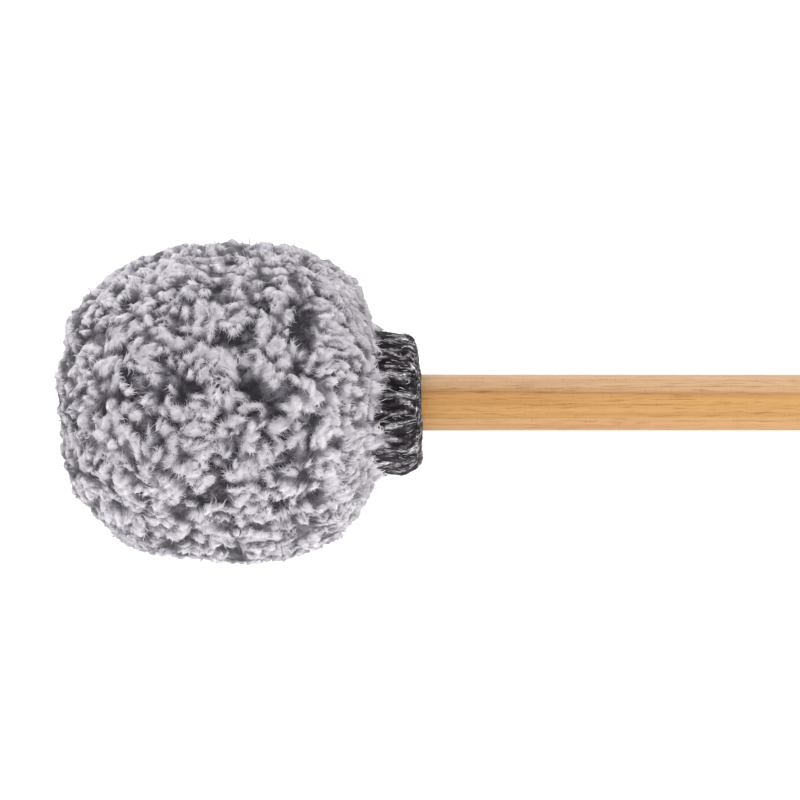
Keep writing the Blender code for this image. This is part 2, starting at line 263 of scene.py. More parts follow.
def arc(centre_x, centre_radius, radius, start, end, steps):
    """Points of an arc in an outline. Angles are in degrees: 0 is +x, and 90 is outwards."""
    turns = [math.radians(start + (end - start) * i / steps) for i in range(steps + 1)]
    return [(centre_x + radius * math.cos(a), centre_radius + radius * math.sin(a)) for a in turns]


def corners_of(form):
    return np.array([v.co[:] for v in form.verts])


def move_corners(form, places):
    for v, place in zip(form.verts, places):
        v.co = place


# %% [markdown]
# ## Fleece: the rounded form under it
#
# The head is a squarish ball: flatter than an egg in front, and squarer still towards the shaft.
# A "superellipse" draws such a form with one number for its squareness, where 2 is an ellipse.
# The function below gives the skin that the pile's tips reach, or a surface this deep under it, in
# any direction from the belly, where the head is widest. Low lumps keep it from looking turned.

# %% The head's skin
BELLY_PLACE = 25.6 * MM
HEAD_RADIUS = 45.6 * MM
HEAD_FRONT = 50.2 * MM
HEAD_REAR = 42.0 * MM
FRONT_SQUARENESS = 2.55
REAR_SQUARENESS = 2.8
LUMP_HEIGHT = 2.0 * MM
LUMP_SPACING = 13 * MM
BELLY = np.array([BELLY_PLACE, 0, 0])


def unit(vectors):
    return vectors / np.maximum(np.linalg.norm(vectors, axis=-1, keepdims=True), 1e-12)


def skin(directions, depth=0.0):
    """Places this deep under the head's skin, in these directions from the belly, and the normals."""
    ahead = directions[..., 0:1] < 0
    power = np.where(ahead, FRONT_SQUARENESS, REAR_SQUARENESS)
    length = np.where(ahead, HEAD_FRONT, HEAD_REAR) - depth
    x = directions[..., 0:1] / length
    across = directions[..., 1:] / (HEAD_RADIUS - depth)
    radius = np.linalg.norm(across, axis=-1, keepdims=True)
    reach = (np.abs(x) ** power + radius**power) ** (-1 / power)
    slope_x = np.sign(x) * np.abs(x) ** (power - 1) / length
    slope_across = across * np.maximum(radius, 1e-9) ** (power - 2) / (HEAD_RADIUS - depth)
    return directions * reach + BELLY, unit(np.concatenate([slope_x, slope_across], -1))


def near_neck(places, radius):
    """Which places are behind the belly and less than this far from the axis."""
    return (places[..., 0] > BELLY_PLACE) & (np.hypot(places[..., 1], places[..., 2]) < radius)


def noise_at(places, spacing, octaves=0):
    """Smooth noise with waves of this size, or rougher noise with this many octaves."""
    points = [Vector(p) / spacing for p in places]
    if octaves:
        return np.array([noise.fractal(p, 1.0, 2.0, octaves) for p in points])
    return np.array([noise.noise(p) for p in points])


def lumps(places):
    """How far the low lumps move these places out."""
    return LUMP_HEIGHT * noise_at(places, LUMP_SPACING, 2)


# %% [markdown]
# A cube that is cut into a fine grid and blown up to a ball has faces of nearly one size
# everywhere, with no crowded poles, so it carries fine relief well. The tangent evens out its
# rows. A flat cut opens it at the back, for the neck.

# %% A ball of even faces
GRID = 124  # cuts along a side of the cube
NECK_OPENING = math.radians(21)  # between the axis and the edge of the opening, from the belly

ball = bmesh.new()
bmesh.ops.create_cube(ball, size=2.0)
bmesh.ops.subdivide_edges(ball, edges=ball.edges[:], cuts=GRID, use_grid_fill=True)
for v in ball.verts:
    v.co = Vector([math.tan(c * math.pi / 4) for c in v.co]).normalized()
bmesh.ops.bisect_plane(
    ball, geom=ball.verts[:] + ball.edges[:] + ball.faces[:],
    plane_co=(math.cos(NECK_OPENING), 0, 0), plane_no=(1, 0, 0), clear_outer=True,
)
mass = bpy.data.meshes.new("fleece_mass")
ball.to_mesh(mass)
ball.clear()
ball.from_mesh(mass)  # numbers its corners afresh, so that those added later come last
ball_places, ball_normals = skin(unit(corners_of(ball)))
print("the ball has", len(ball.faces), "faces")

# %% [markdown]
# ## Fleece: its tufts
#
# Long pile doesn't stand hair by hair. It felts into tufts, some 6 mm long, that lie over each
# other like untidy scales, and each of them is pale at its tip and charcoal at its root. So the
# tufts come first, as a few thousand places with a direction, a length, a width and a height.
# Neighbours lean roughly the same way, which smooth noise gives, and towards the shaft they are
# combed back to the neck. Here and there some are sunk, and show the dark of their roots.

# %% Scatter the tufts
rng = np.random.default_rng(7)
noise.seed_set(7)
TUFTS = 3500
TRIES = 5  # candidates for each place: the one furthest from the others is taken


def scattered(count):
    """Even but irregular places on the skin, clear of the cuff, and the normals there."""
    places = np.full((count, 3), 1.0)
    normals = np.zeros((count, 3))
    for i in range(count):
        some, facing = skin(unit(rng.normal(size=(TRIES, 3))))
        gaps = np.linalg.norm(some[:, None] - places[None, :i], axis=2).min(1, initial=1.0)
        best = np.where(near_neck(some, cuff_radius), 0, gaps).argmax()
        places[i], normals[i] = some[best], facing[best]
    return places, normals


# %% Grow the tufts
TUFT_LENGTH = 5.9 * MM
TUFT_HALF_WIDTH = 2.3 * MM
TUFT_HEIGHT = 2.0 * MM
FLOW_SPACING = 12 * MM
SWIRL_SPACING = 8 * MM
POOL_SPACING = 3.8 * MM  # of the dark hollows
COMB_START = 10 * MM  # behind the belly
COMB = 0.75  # how fully the tufts at the neck are combed back


def flow_at(places, spacing, seed):
    shift = Vector((seed, 1.7 * seed, -seed))
    return np.array([noise.noise_vector(Vector(p) / spacing + shift)[:] for p in places])


def smoothstep(low, high, x):
    t = np.clip((x - low) / (high - low), 0, 1)
    return t * t * (3 - 2 * t)


def grow_tufts(count):
    """The tufts as a table of arrays, one row for each."""
    place, normal = scattered(count)
    comb_and_painted_light = smoothstep(BELLY_PLACE + COMB_START, cuff_front, place[:, 0:1])
    flow = unit(flow_at(place, FLOW_SPACING, 3.1) + 0.3 * rng.normal(size=(count, 3)))
    flow = flow * (1 - COMB * comb_and_painted_light) + np.array([1.0, 0, 0]) * comb_and_painted_light
    lean = unit(flow - normal * (flow * normal).sum(1, keepdims=True))
    swirl = flow_at(place, SWIRL_SPACING, 5.7)
    pool = flow_at(place, POOL_SPACING, 9.2)[:, 0:1]

    def drawn(spread):
        return spread * rng.normal(size=(count, 1))

    def varied(middle, share, low, high):
        return middle * (1 + drawn(share)).clip(low, high)

    sunk = smoothstep(0.0, 0.42, pool + drawn(0.3))
    height = varied(TUFT_HEIGHT, 0.15, 0.4, 1.35) * (1 + 0.5 * swirl[:, 0:1])
    return {
        "place": place,
        "lean": lean,
        "side": np.cross(normal, lean),
        "length": varied(TUFT_LENGTH, 0.22, 0.5, 1.6) * (1 + 0.2 * comb_and_painted_light),
        "width": varied(TUFT_HALF_WIDTH, 0.25, 0.5, 1.6),
        "height": height * (1 - 0.45 * sunk),
        "sunk": sunk,
        "bend": drawn(0.25),
        # Towards the neck the tufts are also painted paler: painted light, for the brighter light on
        # the head's rear.
        "tone": 0.62 + drawn(0.13) + 0.4 * swirl[:, 1:2] + 0.2 * comb_and_painted_light,
    }


tufts = grow_tufts(TUFTS)
print("tufts:", TUFTS, "of which dark:", int((tufts["sunk"] > 0.5).sum()))

# %% [markdown]
# Three curves give every tuft its form. Along it, s runs from 0 at the root to 1 at the tip:
# it widens and closes again like a leaf, it rises and then rolls over, and it turns from dark to
# pale. Across it, it is domed.

# %% A tuft's form


def leaf(s):
    """Half the width at s, where the widest is 1."""
    return np.sqrt(np.sin(math.pi * np.clip(s, 0, 1) ** 0.9).clip(0, 1))


def rise(s):
    """The height of the tuft's middle line at s, where the highest is 1."""
    return 0.15 + 0.85 * np.sin(np.clip(s, 0, 1.2) / 0.85 * math.pi / 2)


def dome(across):
    return np.clip(1 - across**2, 0, 1)


def paleness(s, across, sunk):
    """How pale the pile is there, from 0 at the roots to 1."""
    return smoothstep(0.0, 0.8, s) * (0.2 + 0.8 * dome(across)) * (1 - 0.85 * sunk)


# %% [markdown]
# ## Fleece: the dense pile
#
# Under the loose ends the pile is one soft mass. The ball gets its relief from the tufts: at each
# corner the tufts that cover it are blended, and the highest counts most. With the height come
# two numbers for the colour, how far up the pile the place is and how pale its tuft is. Then dark
# crevices part the pile here and there, along the middle value of a noise.

# %% Lay the tufts over the ball
PILE_DEPTH = 2.9 * MM  # from the skin down to the bare ground between tufts
BLEND = 2.8 / MM  # how sharply the highest tuft wins
BARE_SHADE = 0.08
FAN = 0.7  # how far the hair at a tuft's sides turns outwards
CREVICE_SPACING = 7.5 * MM
CREVICE_WIDTH = 0.09  # as a share of the spacing
CREVICE_DEPTH = 0.55  # its share of the pile's height
CREVICE_DARK = 0.85  # its share of the pile's paleness

ball_tree = kdtree.KDTree(len(ball_places))
for i, p in enumerate(ball_places):
    ball_tree.insert(p, i)
ball_tree.balance()


def lay_tufts():
    """The pile's height, shade and tone at each corner of the ball, and the way that its hair lies."""
    weight, height = np.ones(len(ball_places)), np.zeros(len(ball_places))
    shade, tone = BARE_SHADE * weight, 0.5 * weight
    lie = 1e-3 * np.cross(ball_normals, (1, 0, 0))
    for i in range(TUFTS):
        tuft = {key: value[i] for key, value in tufts.items()}
        found = ball_tree.find_range(tuft["place"], tuft["length"][0] * 0.6 + tuft["width"][0])
        near = np.array([f[1] for f in found])
        offset = ball_places[near] - tuft["place"]
        s = offset @ tuft["lean"] / tuft["length"] + 0.5
        sway = tuft["bend"] * tuft["length"] * s**2
        across = (offset @ tuft["side"] - sway) / (tuft["width"] * np.maximum(leaf(s), 1e-3))
        inside = (np.abs(across) < 1) & (s > 0) & (s < 1)
        near, s, across = near[inside], s[inside], across[inside]
        rises = tuft["height"] * rise(s) * dome(across)
        share = np.exp(BLEND * rises) - 1
        weight[near] += share
        height[near] += share * rises
        shade[near] += share * paleness(s, across, tuft["sunk"])
        tone[near] += share * tuft["tone"]
        lie[near] += share[:, None] * (tuft["lean"] + FAN * across[:, None] * tuft["side"])
    return height / weight, shade / weight, tone / weight, unit(lie)


def crevices(places):
    """Branching crevices where the pile parts, as 1 in their middle and 0 outside them."""
    line = noise_at(places, CREVICE_SPACING, 3)
    there = noise_at(places, 1.6 * CREVICE_SPACING)
    return np.exp(-((line / CREVICE_WIDTH) ** 2)) * smoothstep(-0.35, 0.1, there)


ball_height, ball_shade, ball_tone, ball_lie = lay_tufts()
crevice = crevices(ball_places + 0.6 * ball_height[:, None] * ball_lie)
ball_height *= 1 - CREVICE_DEPTH * crevice
ball_shade *= 1 - CREVICE_DARK * crevice
ball_ground = lumps(ball_places) - PILE_DEPTH
print("mean height of the pile in mm:", round(ball_height.mean() / MM, 2))

# %% [markdown]
# One material serves the dense pile and the loose fibres, because both are the same hair. It reads
# two numbers from the piece's own map: across, how far up the hair a point is, and up, how pale
# that hair is. A colour ramp turns them into charcoal roots and pale lavender grey tips. Sheen
# gives the soft bright edge of cloth seen at a flat angle.

# %% Fleece material
FLEECE_DARK = (0.028, 0.024, 0.03)
FLEECE_MID = (0.17, 0.156, 0.18)
FLEECE_LIGHT = (0.465, 0.437, 0.486)
FLEECE_WHITE = (0.61, 0.582, 0.614)
TONE_WEIGHT = 0.5


def hair_material(name, stops, sheen):
    """A colour ramp over how far up the hair a point is, shifted by how pale the hair is."""
    made, tree, shader = new_material(
        name, 1.0, Specular_IOR_Level=0.0, Sheen_Weight=sheen, Sheen_Roughness=0.6
    )
    uv = add(tree, "ShaderNodeUVMap", uv_map="OFBake")
    up_hair, tone, _ = add(tree, "ShaderNodeSeparateXYZ", {0: uv.outputs[0]}).outputs
    lift = maths(tree, "SUBTRACT", tone, 0.5)
    shade = maths(tree, "MULTIPLY_ADD", lift, TONE_WEIGHT, up_hair)
    tree.links.new(ramp(tree, shade, stops), shader.inputs["Base Color"])
    return made


fleece = hair_material(
    "fleece_pile",
    [(0.1, FLEECE_DARK), (0.35, FLEECE_MID), (0.62, FLEECE_LIGHT), (1.0, FLEECE_WHITE)],
    sheen=0.2,
)

# %% [markdown]
# Near the cuff the pile doesn't stop. It flows down off the head's shoulder and laps over the
# cuff's front edge, further in some places than in others. So behind the shoulder the ground that
# the pile stands on follows a quarter turn from the head's skin onto the cuff's side.

# %% The pile's way over the cuff
CUFF_CLEARANCE = 0.3 * MM
LIP_START = 23.5 * MM  # from the axis, on the head's skin
LIP_END = 19.6 * MM
LIP_REACH = (-0.4 * MM, 4.2 * MM)  # behind the cuff's front


def lip_reach(angle):
    """How far behind the cuff's front the pile ends, at these angles round the axis."""
    ring = 3.2 * np.stack([np.cos(angle), np.sin(angle), 0.2 + 0 * angle], 1)
    return np.interp(0.5 + 0.9 * noise_at(ring, 1.0, 3), (0, 1), LIP_REACH)


shoulder = HEAD_REAR * (1 - (LIP_START / HEAD_RADIUS) ** REAR_SQUARENESS) ** (1 / REAR_SQUARENESS)
shoulder, shoulder_normal = skin(unit(np.array([shoulder, LIP_START, 0.0])))


def draped(place, normal, ground, height, lift=0.0):
    """Places above the ground under the skin, over the cuff too, and the way that they face."""
    lift = lift + 0 * height
    points = place + normal * (ground + height + lift)[..., None]
    facing = normal.copy()
    on_lip = near_neck(place, LIP_START)
    radius = np.hypot(place[..., 1], place[..., 2])[on_lip]
    angle = np.arctan2(place[..., 2], place[..., 1])[on_lip]
    ground, height, lift = ground[on_lip], height[on_lip], lift[on_lip]
    way = (LIP_START - radius) / (LIP_START - LIP_END)
    share = np.clip(way, 0, 1)
    start_x, start_radius = (shoulder[i] + shoulder_normal[i] * ground for i in (0, 1))
    end_x, end_radius = cuff_front + lip_reach(angle), cuff_radius + CUFF_CLEARANCE
    x = start_x + (end_x - start_x) * (1 - np.cos(share * math.pi / 2))
    x = x + np.maximum(way - 1, 0) * (LIP_START - LIP_END)
    out = start_radius + (end_radius - start_radius) * np.sin(share * math.pi / 2)
    face = unit(np.stack([
        shoulder_normal[0] * (1 - share), shoulder_normal[1] * (1 - share) + share,
    ], -1))
    above = height * (1 - share**4) + lift
    points[on_lip] = turned(x + face[:, 0] * above, out + face[:, 1] * above, angle)
    facing[on_lip] = turned(face[:, 0], face[:, 1], angle)
    return points, facing


# %% [markdown]
# The ball now gets its relief. Under the lip it turns back to the cuff's front, and where it lies
# on the table its lowest part is squeezed into a thin layer. Then the edge of the opening is
# extruded ring by ring: down the neck under the cuff, back up inside it, and on round the inside
# of the head, so that the cover is a closed thick shell with a smooth lining.

# %% Under the lip and on the table
LIP_UNDERSIDE = 0.4  # its share of what is left of the skin, up to the neck's opening
TABLE_CLEARANCE = 0.25 * MM
SQUEEZE = 1.0 * MM


def tucked_in(points, place):
    """Turns what lies beyond the lip's end back along the cuff and down its front."""
    beyond = near_neck(place, LIP_END)
    radius = np.hypot(place[:, 1], place[:, 2])[beyond]
    angle = np.arctan2(place[:, 2], place[:, 1])[beyond]
    neck = radius.min()
    way = (LIP_END - radius) / (LIP_END - neck)
    back = np.clip(way / LIP_UNDERSIDE, 0, 1)
    down = np.clip((way - LIP_UNDERSIDE) / (1 - LIP_UNDERSIDE), 0, 1)
    wall, edge = cuff_front - CUFF_CLEARANCE, cuff_radius + CUFF_CLEARANCE
    tip = cuff_front + lip_reach(angle)
    points[beyond] = turned(tip + (wall - tip) * back, edge + (neck - edge) * down, angle)
    return points


def on_table(points):
    """Places on the axis as places in the world, squeezed where they would reach the table."""
    world = moved(points, TO_WORLD)
    height = world[..., 2]
    squeezed = TABLE_CLEARANCE * np.exp(np.minimum(height - TABLE_CLEARANCE, 0) / SQUEEZE)
    world[..., 2] = np.where(height < TABLE_CLEARANCE, squeezed, height)
    return world


# %% The neck and the lining
COVER_WALL = 9.2 * MM
NECK_WALL = 1.2 * MM
LINING_RINGS = 14


def head_section(depth, rear_radius, count):
    """The head's outline this deep under its skin, from the front pole back to this radius."""
    turns = np.linspace(math.pi, math.atan2(rear_radius, HEAD_REAR - depth), count)
    section, _ = skin(np.stack([np.cos(turns), 0 * turns, np.sin(turns)], 1), depth)
    return [(p[0], max(p[2], 0)) for p in section]


neck_end = min(cover_end, cuff_rear - 4 * MM)
neck_outline = [
    (cuff_front - CUFF_CLEARANCE, cover_bore + NECK_WALL),
    (neck_end, cover_bore + NECK_WALL),
    (neck_end, cover_bore),
]
front_pole, *lining_outline = head_section(COVER_WALL, cover_bore, LINING_RINGS + 1)

# %% The dense pile
pile, pile_normals = draped(ball_places, ball_normals, ball_ground, ball_height)
move_corners(ball, tucked_in(pile, ball_places))
for x, radius in neck_outline + lining_outline[::-1]:
    edges = [e for e in ball.edges if e.is_boundary]
    made = bmesh.ops.extrude_edge_only(ball, edges=edges)["geom"]
    ring = [v for v in made if isinstance(v, bmesh.types.BMVert)]
    for v in ring:
        v.co = turned(x, radius, math.atan2(v.co.z, v.co.y))
bmesh.ops.pointmerge(ball, verts=ring, merge_co=(front_pole[0], 0, 0))
pile_points = corners_of(ball)
move_corners(ball, on_table(pile_points))
ball.to_mesh(mass)
ball.free()

# %% [markdown]
# Each corner of the mesh gets its two numbers for the colour. Light soaks into a deep pile and
# evens out, so the pile's shading follows the smooth skin more than its own relief.

# %% Colour and shading of the pile
SOFTNESS = 1.2  # how evenly light soaks into the pile: 0 shades it like clay
LINING_MAP = (0.3, 0.5)  # the lining's place on the colour map


def colour_map(mesh, chart):
    """Gives each face corner its vertex's (shade, tone), as the map that the export keeps."""
    corner = np.empty(len(mesh.loops), dtype=np.int32)
    mesh.loops.foreach_get("vertex_index", corner)
    layer = mesh.uv_layers.new(name="OFBake")
    layer.uv.foreach_set("vector", chart.clip(0.005, 0.995)[corner].astype(np.float32).ravel())


def light_by(mesh, normals, own=0.0):
    """Lights the mesh by these normals on the axis, added to its own."""
    lit = unit(own + normals @ WORLD_TURN)
    mesh.normals_split_custom_set_from_vertices(lit.astype(np.float32))


lining_points = pile_points[len(pile):]
grainy = ball_shade * rng.uniform(0.7, 1.15, len(ball_shade))
lining_map = np.array(LINING_MAP) + 0.4 * lining_points[:, :2]
colour_map(mass, np.concatenate([np.stack([grainy, ball_tone], 1), lining_map]))
fleece_mass = riding(mass, fleece, "fleece_cover")
own = np.array([v.normal[:] for v in mass.vertices])
light_by(mass, SOFTNESS * np.concatenate([pile_normals, 0 * lining_points]), own)

# %% [markdown]
# ## Fleece: the loose fibres
#
# What makes it fleece and not a lumpy cushion is the loose fibre on top: close to forty slivers
# for each tuft, a tenth of a millimetre thick. Each is a three-sided spike with a root, a middle
# and a tip, so it has only ten faces. It follows the pile that it lies on and takes its colour, a
# few go astray, and a few are dark. Numpy works them all out at once.

# %% One fibre


def sliver():
    """A three-sided spike that tapers to its tip: its (across, up, ring) points and its faces."""
    form = bmesh.new()
    bmesh.ops.create_cone(form, cap_ends=True, segments=3, radius1=1, radius2=0, depth=2)
    bmesh.ops.bisect_plane(
        form, geom=form.verts[:] + form.edges[:] + form.faces[:],
        plane_co=(0, 0, 0), plane_no=(0, 0, 1),
    )
    bmesh.ops.remove_doubles(form, verts=form.verts, dist=1e-6)
    bmesh.ops.triangulate(form, faces=form.faces)
    points = np.array([(v.co.x, v.co.y, v.co.z + 1) for v in form.verts])
    form.verts.index_update()
    faces = np.array([[v.index for v in f.verts] for f in form.faces])
    form.free()
    points[:, :2] = unit(points[:, :2]) * np.where(points[:, 2:] > 1.5, 0, 1)
    return points, faces


sliver_points, sliver_faces = sliver()
RING = np.round(sliver_points[:, 2]).astype(int)  # 0 at the root, 1 in the middle, 2 at the tip
STEPS = np.array([0, 0.5, 1.0])
FLATNESS = 0.6  # how thick a fibre is, as a share of its width
print("a fibre has", len(sliver_points), "points and", len(sliver_faces), "faces")

# %% A piece of fibres


def slivers(name, node, look, paths, normals, width, shade, tone):
    """Fibres as a piece: their (count, 3, 3) paths, normals, widths, shades and tones.

    The fibres are lit as the soft surface that they lie on, by its normals.
    """
    direction = unit(paths[:, 2] - paths[:, 0])[:, None]
    across = unit(np.cross(normals, direction))
    up = np.cross(direction, across)
    aside, above = sliver_points[:, 0:1], FLATNESS * sliver_points[:, 1:2]
    offset = across[:, RING] * aside + up[:, RING] * above
    points = on_table(paths[:, RING] + offset * width[:, :, None])
    corners = (sliver_faces + np.arange(len(paths))[:, None, None] * len(RING)).reshape(-1)
    mesh = bpy.data.meshes.new(name)
    mesh.vertices.add(len(paths) * len(RING))
    mesh.vertices.foreach_set("co", points.astype(np.float32).ravel())
    mesh.loops.add(len(corners))
    mesh.loops.foreach_set("vertex_index", corners.astype(np.int32))
    mesh.polygons.add(len(corners) // 3)
    mesh.polygons.foreach_set("loop_start", np.arange(0, len(corners), 3, dtype=np.int32))
    colour_map(mesh, np.stack([shade[:, RING], tone + 0.008 * aside.T], -1).reshape(-1, 2))
    mesh.update()
    mesh.validate()
    light_by(mesh, normals[:, RING].reshape(-1, 3))
    return riding(mesh, look, node)


# %% Grow the loose fibres
STRANDS = 132000
STRAND_WIDTH = 0.1 * MM
STRAY_SHARE = 0.15
DARK_SHARE = 0.04
FIBRE_LENGTH = (0.9 * MM, 2.3 * MM)
BRIDGE = 0.3  # how much of a hollow's depth a fibre spans, at its tip
TONE_SPREAD = 0.1
TIP_LIGHT = 0.25


def grow_fibres(count):
    """Fibres that lie on the pile, as the arguments that slivers takes, in order along the axis."""
    root, normal = skin(unit(rng.normal(size=(count, 3))))
    under_cuff = near_neck(root, LIP_END)
    order = np.argsort(np.where(under_cuff, -1.0, root[:, 0]), kind="stable")[under_cuff.sum():]
    root, normal, count = root[order], normal[order], len(order)

    def each(draw, *limits):
        return draw(*limits, size=(count, 1))

    def nearest(points):
        found = [ball_tree.find(p)[1] for p in points.reshape(-1, 3)]
        return np.reshape(found, points.shape[:-1])

    ahead = ball_lie[nearest(root)]
    ahead = unit(ahead - normal * (ahead * normal).sum(1, keepdims=True))
    aside = np.cross(normal, ahead)
    stray = np.where(each(rng.random) < STRAY_SHARE, 1.0, 0.35) * each(rng.normal)
    way = ahead * np.cos(stray) + aside * np.sin(stray)
    beside = np.cross(normal, way)
    length = each(rng.uniform, *FIBRE_LENGTH)
    curl = 0.35 * each(rng.normal)
    flat = root[:, None] + way[:, None] * (length * STEPS)[..., None]
    flat = flat + beside[:, None] * (curl * length * STEPS**2)[..., None]
    place, facing = skin(unit(flat - BELLY))
    near = nearest(place)

    lift = (0.03 + 0.09 * np.abs(each(rng.normal))) * MM
    lift = np.where(each(rng.random) < 0.05, 6 * lift, lift)
    height = ball_height[near]
    height = height + BRIDGE * STEPS * np.maximum(height[:, :1] - height, 0)
    lift = lift * np.array([-0.4, 1.0, 2.2])
    paths, facing = draped(place, facing, ball_ground[near], height, lift)

    shade = 0.5 * ball_shade[near] + (0.5 + TIP_LIGHT * STEPS) * ball_shade[near[:, :1]]
    shade = shade * each(rng.uniform, 0.8, 1.12)
    shade = np.where(each(rng.random) < DARK_SHARE, 0.35 * shade, shade)
    tone = ball_tone[near[:, :1]] + TONE_SPREAD * each(rng.normal)
    width = STRAND_WIDTH * each(rng.uniform, 0.6, 1.3)
    return paths, np.repeat(facing[:, 1:2], 3, axis=1), width, shade, tone


# %% The loose fibres, in pieces along the axis
PILE_PIECES = 8
parts = zip(*(np.array_split(a, PILE_PIECES) for a in grow_fibres(STRANDS)))
loose = [
    slivers(f"fleece_pile_{i + 1}", "fleece_cover", fleece, *part) for i, part in enumerate(parts)
]

# %% [markdown]
# ## Cuff
#
# At the back the cover ends in a rolled hem of its own knitted ground, gathered round the cord
# inside it. Its side is near black, and pale fibre shows in the folds that run from front to back.
# The hem is a fine grid, bent round the axis. Numpy presses the folds into it, each with its own
# place, lean, width and depth, and adds the small slanted stitches of the knit.

# %% The cuff's outline
CUFF_SIDES = 600
FRONT_ROUND = 1.5 * MM
REAR_ROUND = 5.2 * MM
SEAT_RADIUS = 11.95 * MM
LIP = 1.8 * MM
CUFF_STEP = 0.24 * MM


def way_along(points):
    """How far along a line of points each of them is."""
    return np.concatenate([[0], np.cumsum(np.linalg.norm(np.diff(points, axis=0), axis=1))])


def evenly(outline, step):
    """The outline's straight parts cut into steps, with the way along it at each point."""
    found = [outline[0]]
    for a, b in zip(outline, outline[1:]):
        count = max(1, round(math.dist(a, b) / step))
        found += [tuple(np.array(a) + (np.array(b) - a) * (i + 1) / count) for i in range(count)]
    return np.array(found), way_along(found)


CUFF_BACK = cuff_rear - 1.1 * MM
side_outline, side_way = evenly(
    [
        (cuff_front, SEAT_RADIUS + 4 * MM),
        *arc(cuff_front + FRONT_ROUND, cuff_radius - FRONT_ROUND, FRONT_ROUND, 180, 90, 8),
        *arc(CUFF_BACK - REAR_ROUND, cuff_radius - REAR_ROUND, REAR_ROUND, 90, 12, 28),
        (cuff_rear - 0.7 * MM, shaft_hole + 1.0 * MM),
        (CUFF_BACK, shaft_hole),
    ],
    CUFF_STEP,
)
hidden_outline = np.array([
    (cuff_rear - LIP, shaft_hole),
    (cuff_rear - LIP, SEAT_RADIUS),
    (cuff_front, SEAT_RADIUS),
])
slope = np.gradient(side_outline, side_way, axis=0)
side_facing = unit(np.stack([-slope[:, 1], slope[:, 0]], 1))


def way_at(x, radius):
    """How far along the side the point is that lies nearest to this one."""
    return side_way[np.linalg.norm(side_outline - (x, radius), axis=1).argmin()]


way_of_hem = way_at(CUFF_BACK - 0.6 * MM, cuff_radius - 2.8 * MM)
print("the cuff's side is", round(side_way[-1] / MM, 1), "mm long in section")

# %% The cuff's folds
rng = np.random.default_rng(11)
FOLDS = 30

fold_turn = (np.arange(FOLDS) + 0.55 * rng.uniform(-1, 1, FOLDS)) * math.tau / FOLDS
fold_lean = rng.normal(0, 0.012, FOLDS) / MM
fold_sway = rng.uniform(0.005, 0.03, FOLDS)
fold_pitch = rng.uniform(6, 13, FOLDS) * MM
fold_phase = rng.uniform(0, math.tau, FOLDS)
fold_width = (0.25 + 1.15 * rng.random(FOLDS) ** 2) * MM
fold_depth = rng.uniform(0.35, 1.0, FOLDS) * MM
fold_pale = rng.uniform(0.35, 1.0, FOLDS)
fold_start = rng.uniform(-3, 7, FOLDS) * MM
fold_end = rng.uniform(9, 26, FOLDS) * MM


def fold_angle(i, way):
    """The angle round the axis of fold i, this far along the cuff's section."""
    sway = fold_sway[i] * np.sin(math.tau * way / fold_pitch[i] + fold_phase[i])
    return fold_turn[i] + fold_lean[i] * (way - 8 * MM) + sway


def wrapped(angle):
    return (angle + math.pi) % math.tau - math.pi


# %% The cuff's relief
WALES = 96
STITCH = 1.35 * MM
STITCH_HEIGHT = 0.16 * MM
HEM_WIDTH = 0.42 * MM
HEM_DEPTH = 0.45 * MM
GATHER = 1.1 * MM  # how much further one side of the hem is drawn in


def cuff_relief(angle, way, radius):
    """How far the cuff's side stands out there, how pale it is, its stitches, whose crests get a
    painted highlight, and its hem.
    """
    height, dark = np.zeros(angle.shape), np.ones(angle.shape)
    for i in range(FOLDS):
        gap = wrapped(angle - fold_angle(i, way)) * radius / fold_width[i]
        there = smoothstep(fold_start[i], fold_start[i] + 3 * MM, way)
        there = there * (1 - smoothstep(fold_end[i] - 3 * MM, fold_end[i], way))
        height -= fold_depth[i] * np.exp(-(gap**2)) * there
        dark *= 1 - fold_pale[i] * np.exp(-((1.1 * gap) ** 4)) * there
    wale = 2 * ((angle + 0.05 * np.sin(way / (3 * MM))) * WALES / math.tau % 1) - 1
    loop_and_highlight = np.cos(math.tau * (way / STITCH + 0.45 * np.abs(wale)))
    height += STITCH_HEIGHT * np.sqrt(1 - wale**2) * (0.6 + 0.4 * loop_and_highlight)
    wander = 0.35 * MM * np.sin(3 * angle) * np.sin(5 * angle + 1)
    hem = (way - way_of_hem + wander) / HEM_WIDTH
    height -= HEM_DEPTH * np.exp(-(hem**2))
    height -= GATHER * smoothstep(3 * MM, 13 * MM, way) * (0.5 + 0.5 * np.cos(angle))
    return height, 1 - dark, 0.5 + 0.5 * loop_and_highlight, np.exp(-(hem**4))


def cuff_places(angle, way):
    """Places on the cuff's side and the normals there, with three numbers for its colour."""
    x, radius = (np.interp(way, side_way, side_outline[:, i]) for i in (0, 1))
    normal = turned(*(np.interp(way, side_way, side_facing[:, i]) for i in (0, 1)), angle)
    place = turned(x, radius, angle)
    height, *colour = cuff_relief(angle, way, radius)
    low = noise_at(place.reshape(-1, 3), 4.5 * MM).reshape(angle.shape)
    height = height + 0.7 * MM * low - 0.1 * MM
    height = height * smoothstep(0, 1.5 * MM, way) * smoothstep(0, 2 * MM, side_way[-1] - way)
    return place + normal * height[..., None], normal, *colour


def stretched(places, way, across, along, seed):
    """Noise in streaks: this far apart across the folds and along them."""
    spots = [places[:, 1] / across, places[:, 2] / across, way / along + seed]
    return noise_at(np.stack(spots, 1), 1.0)


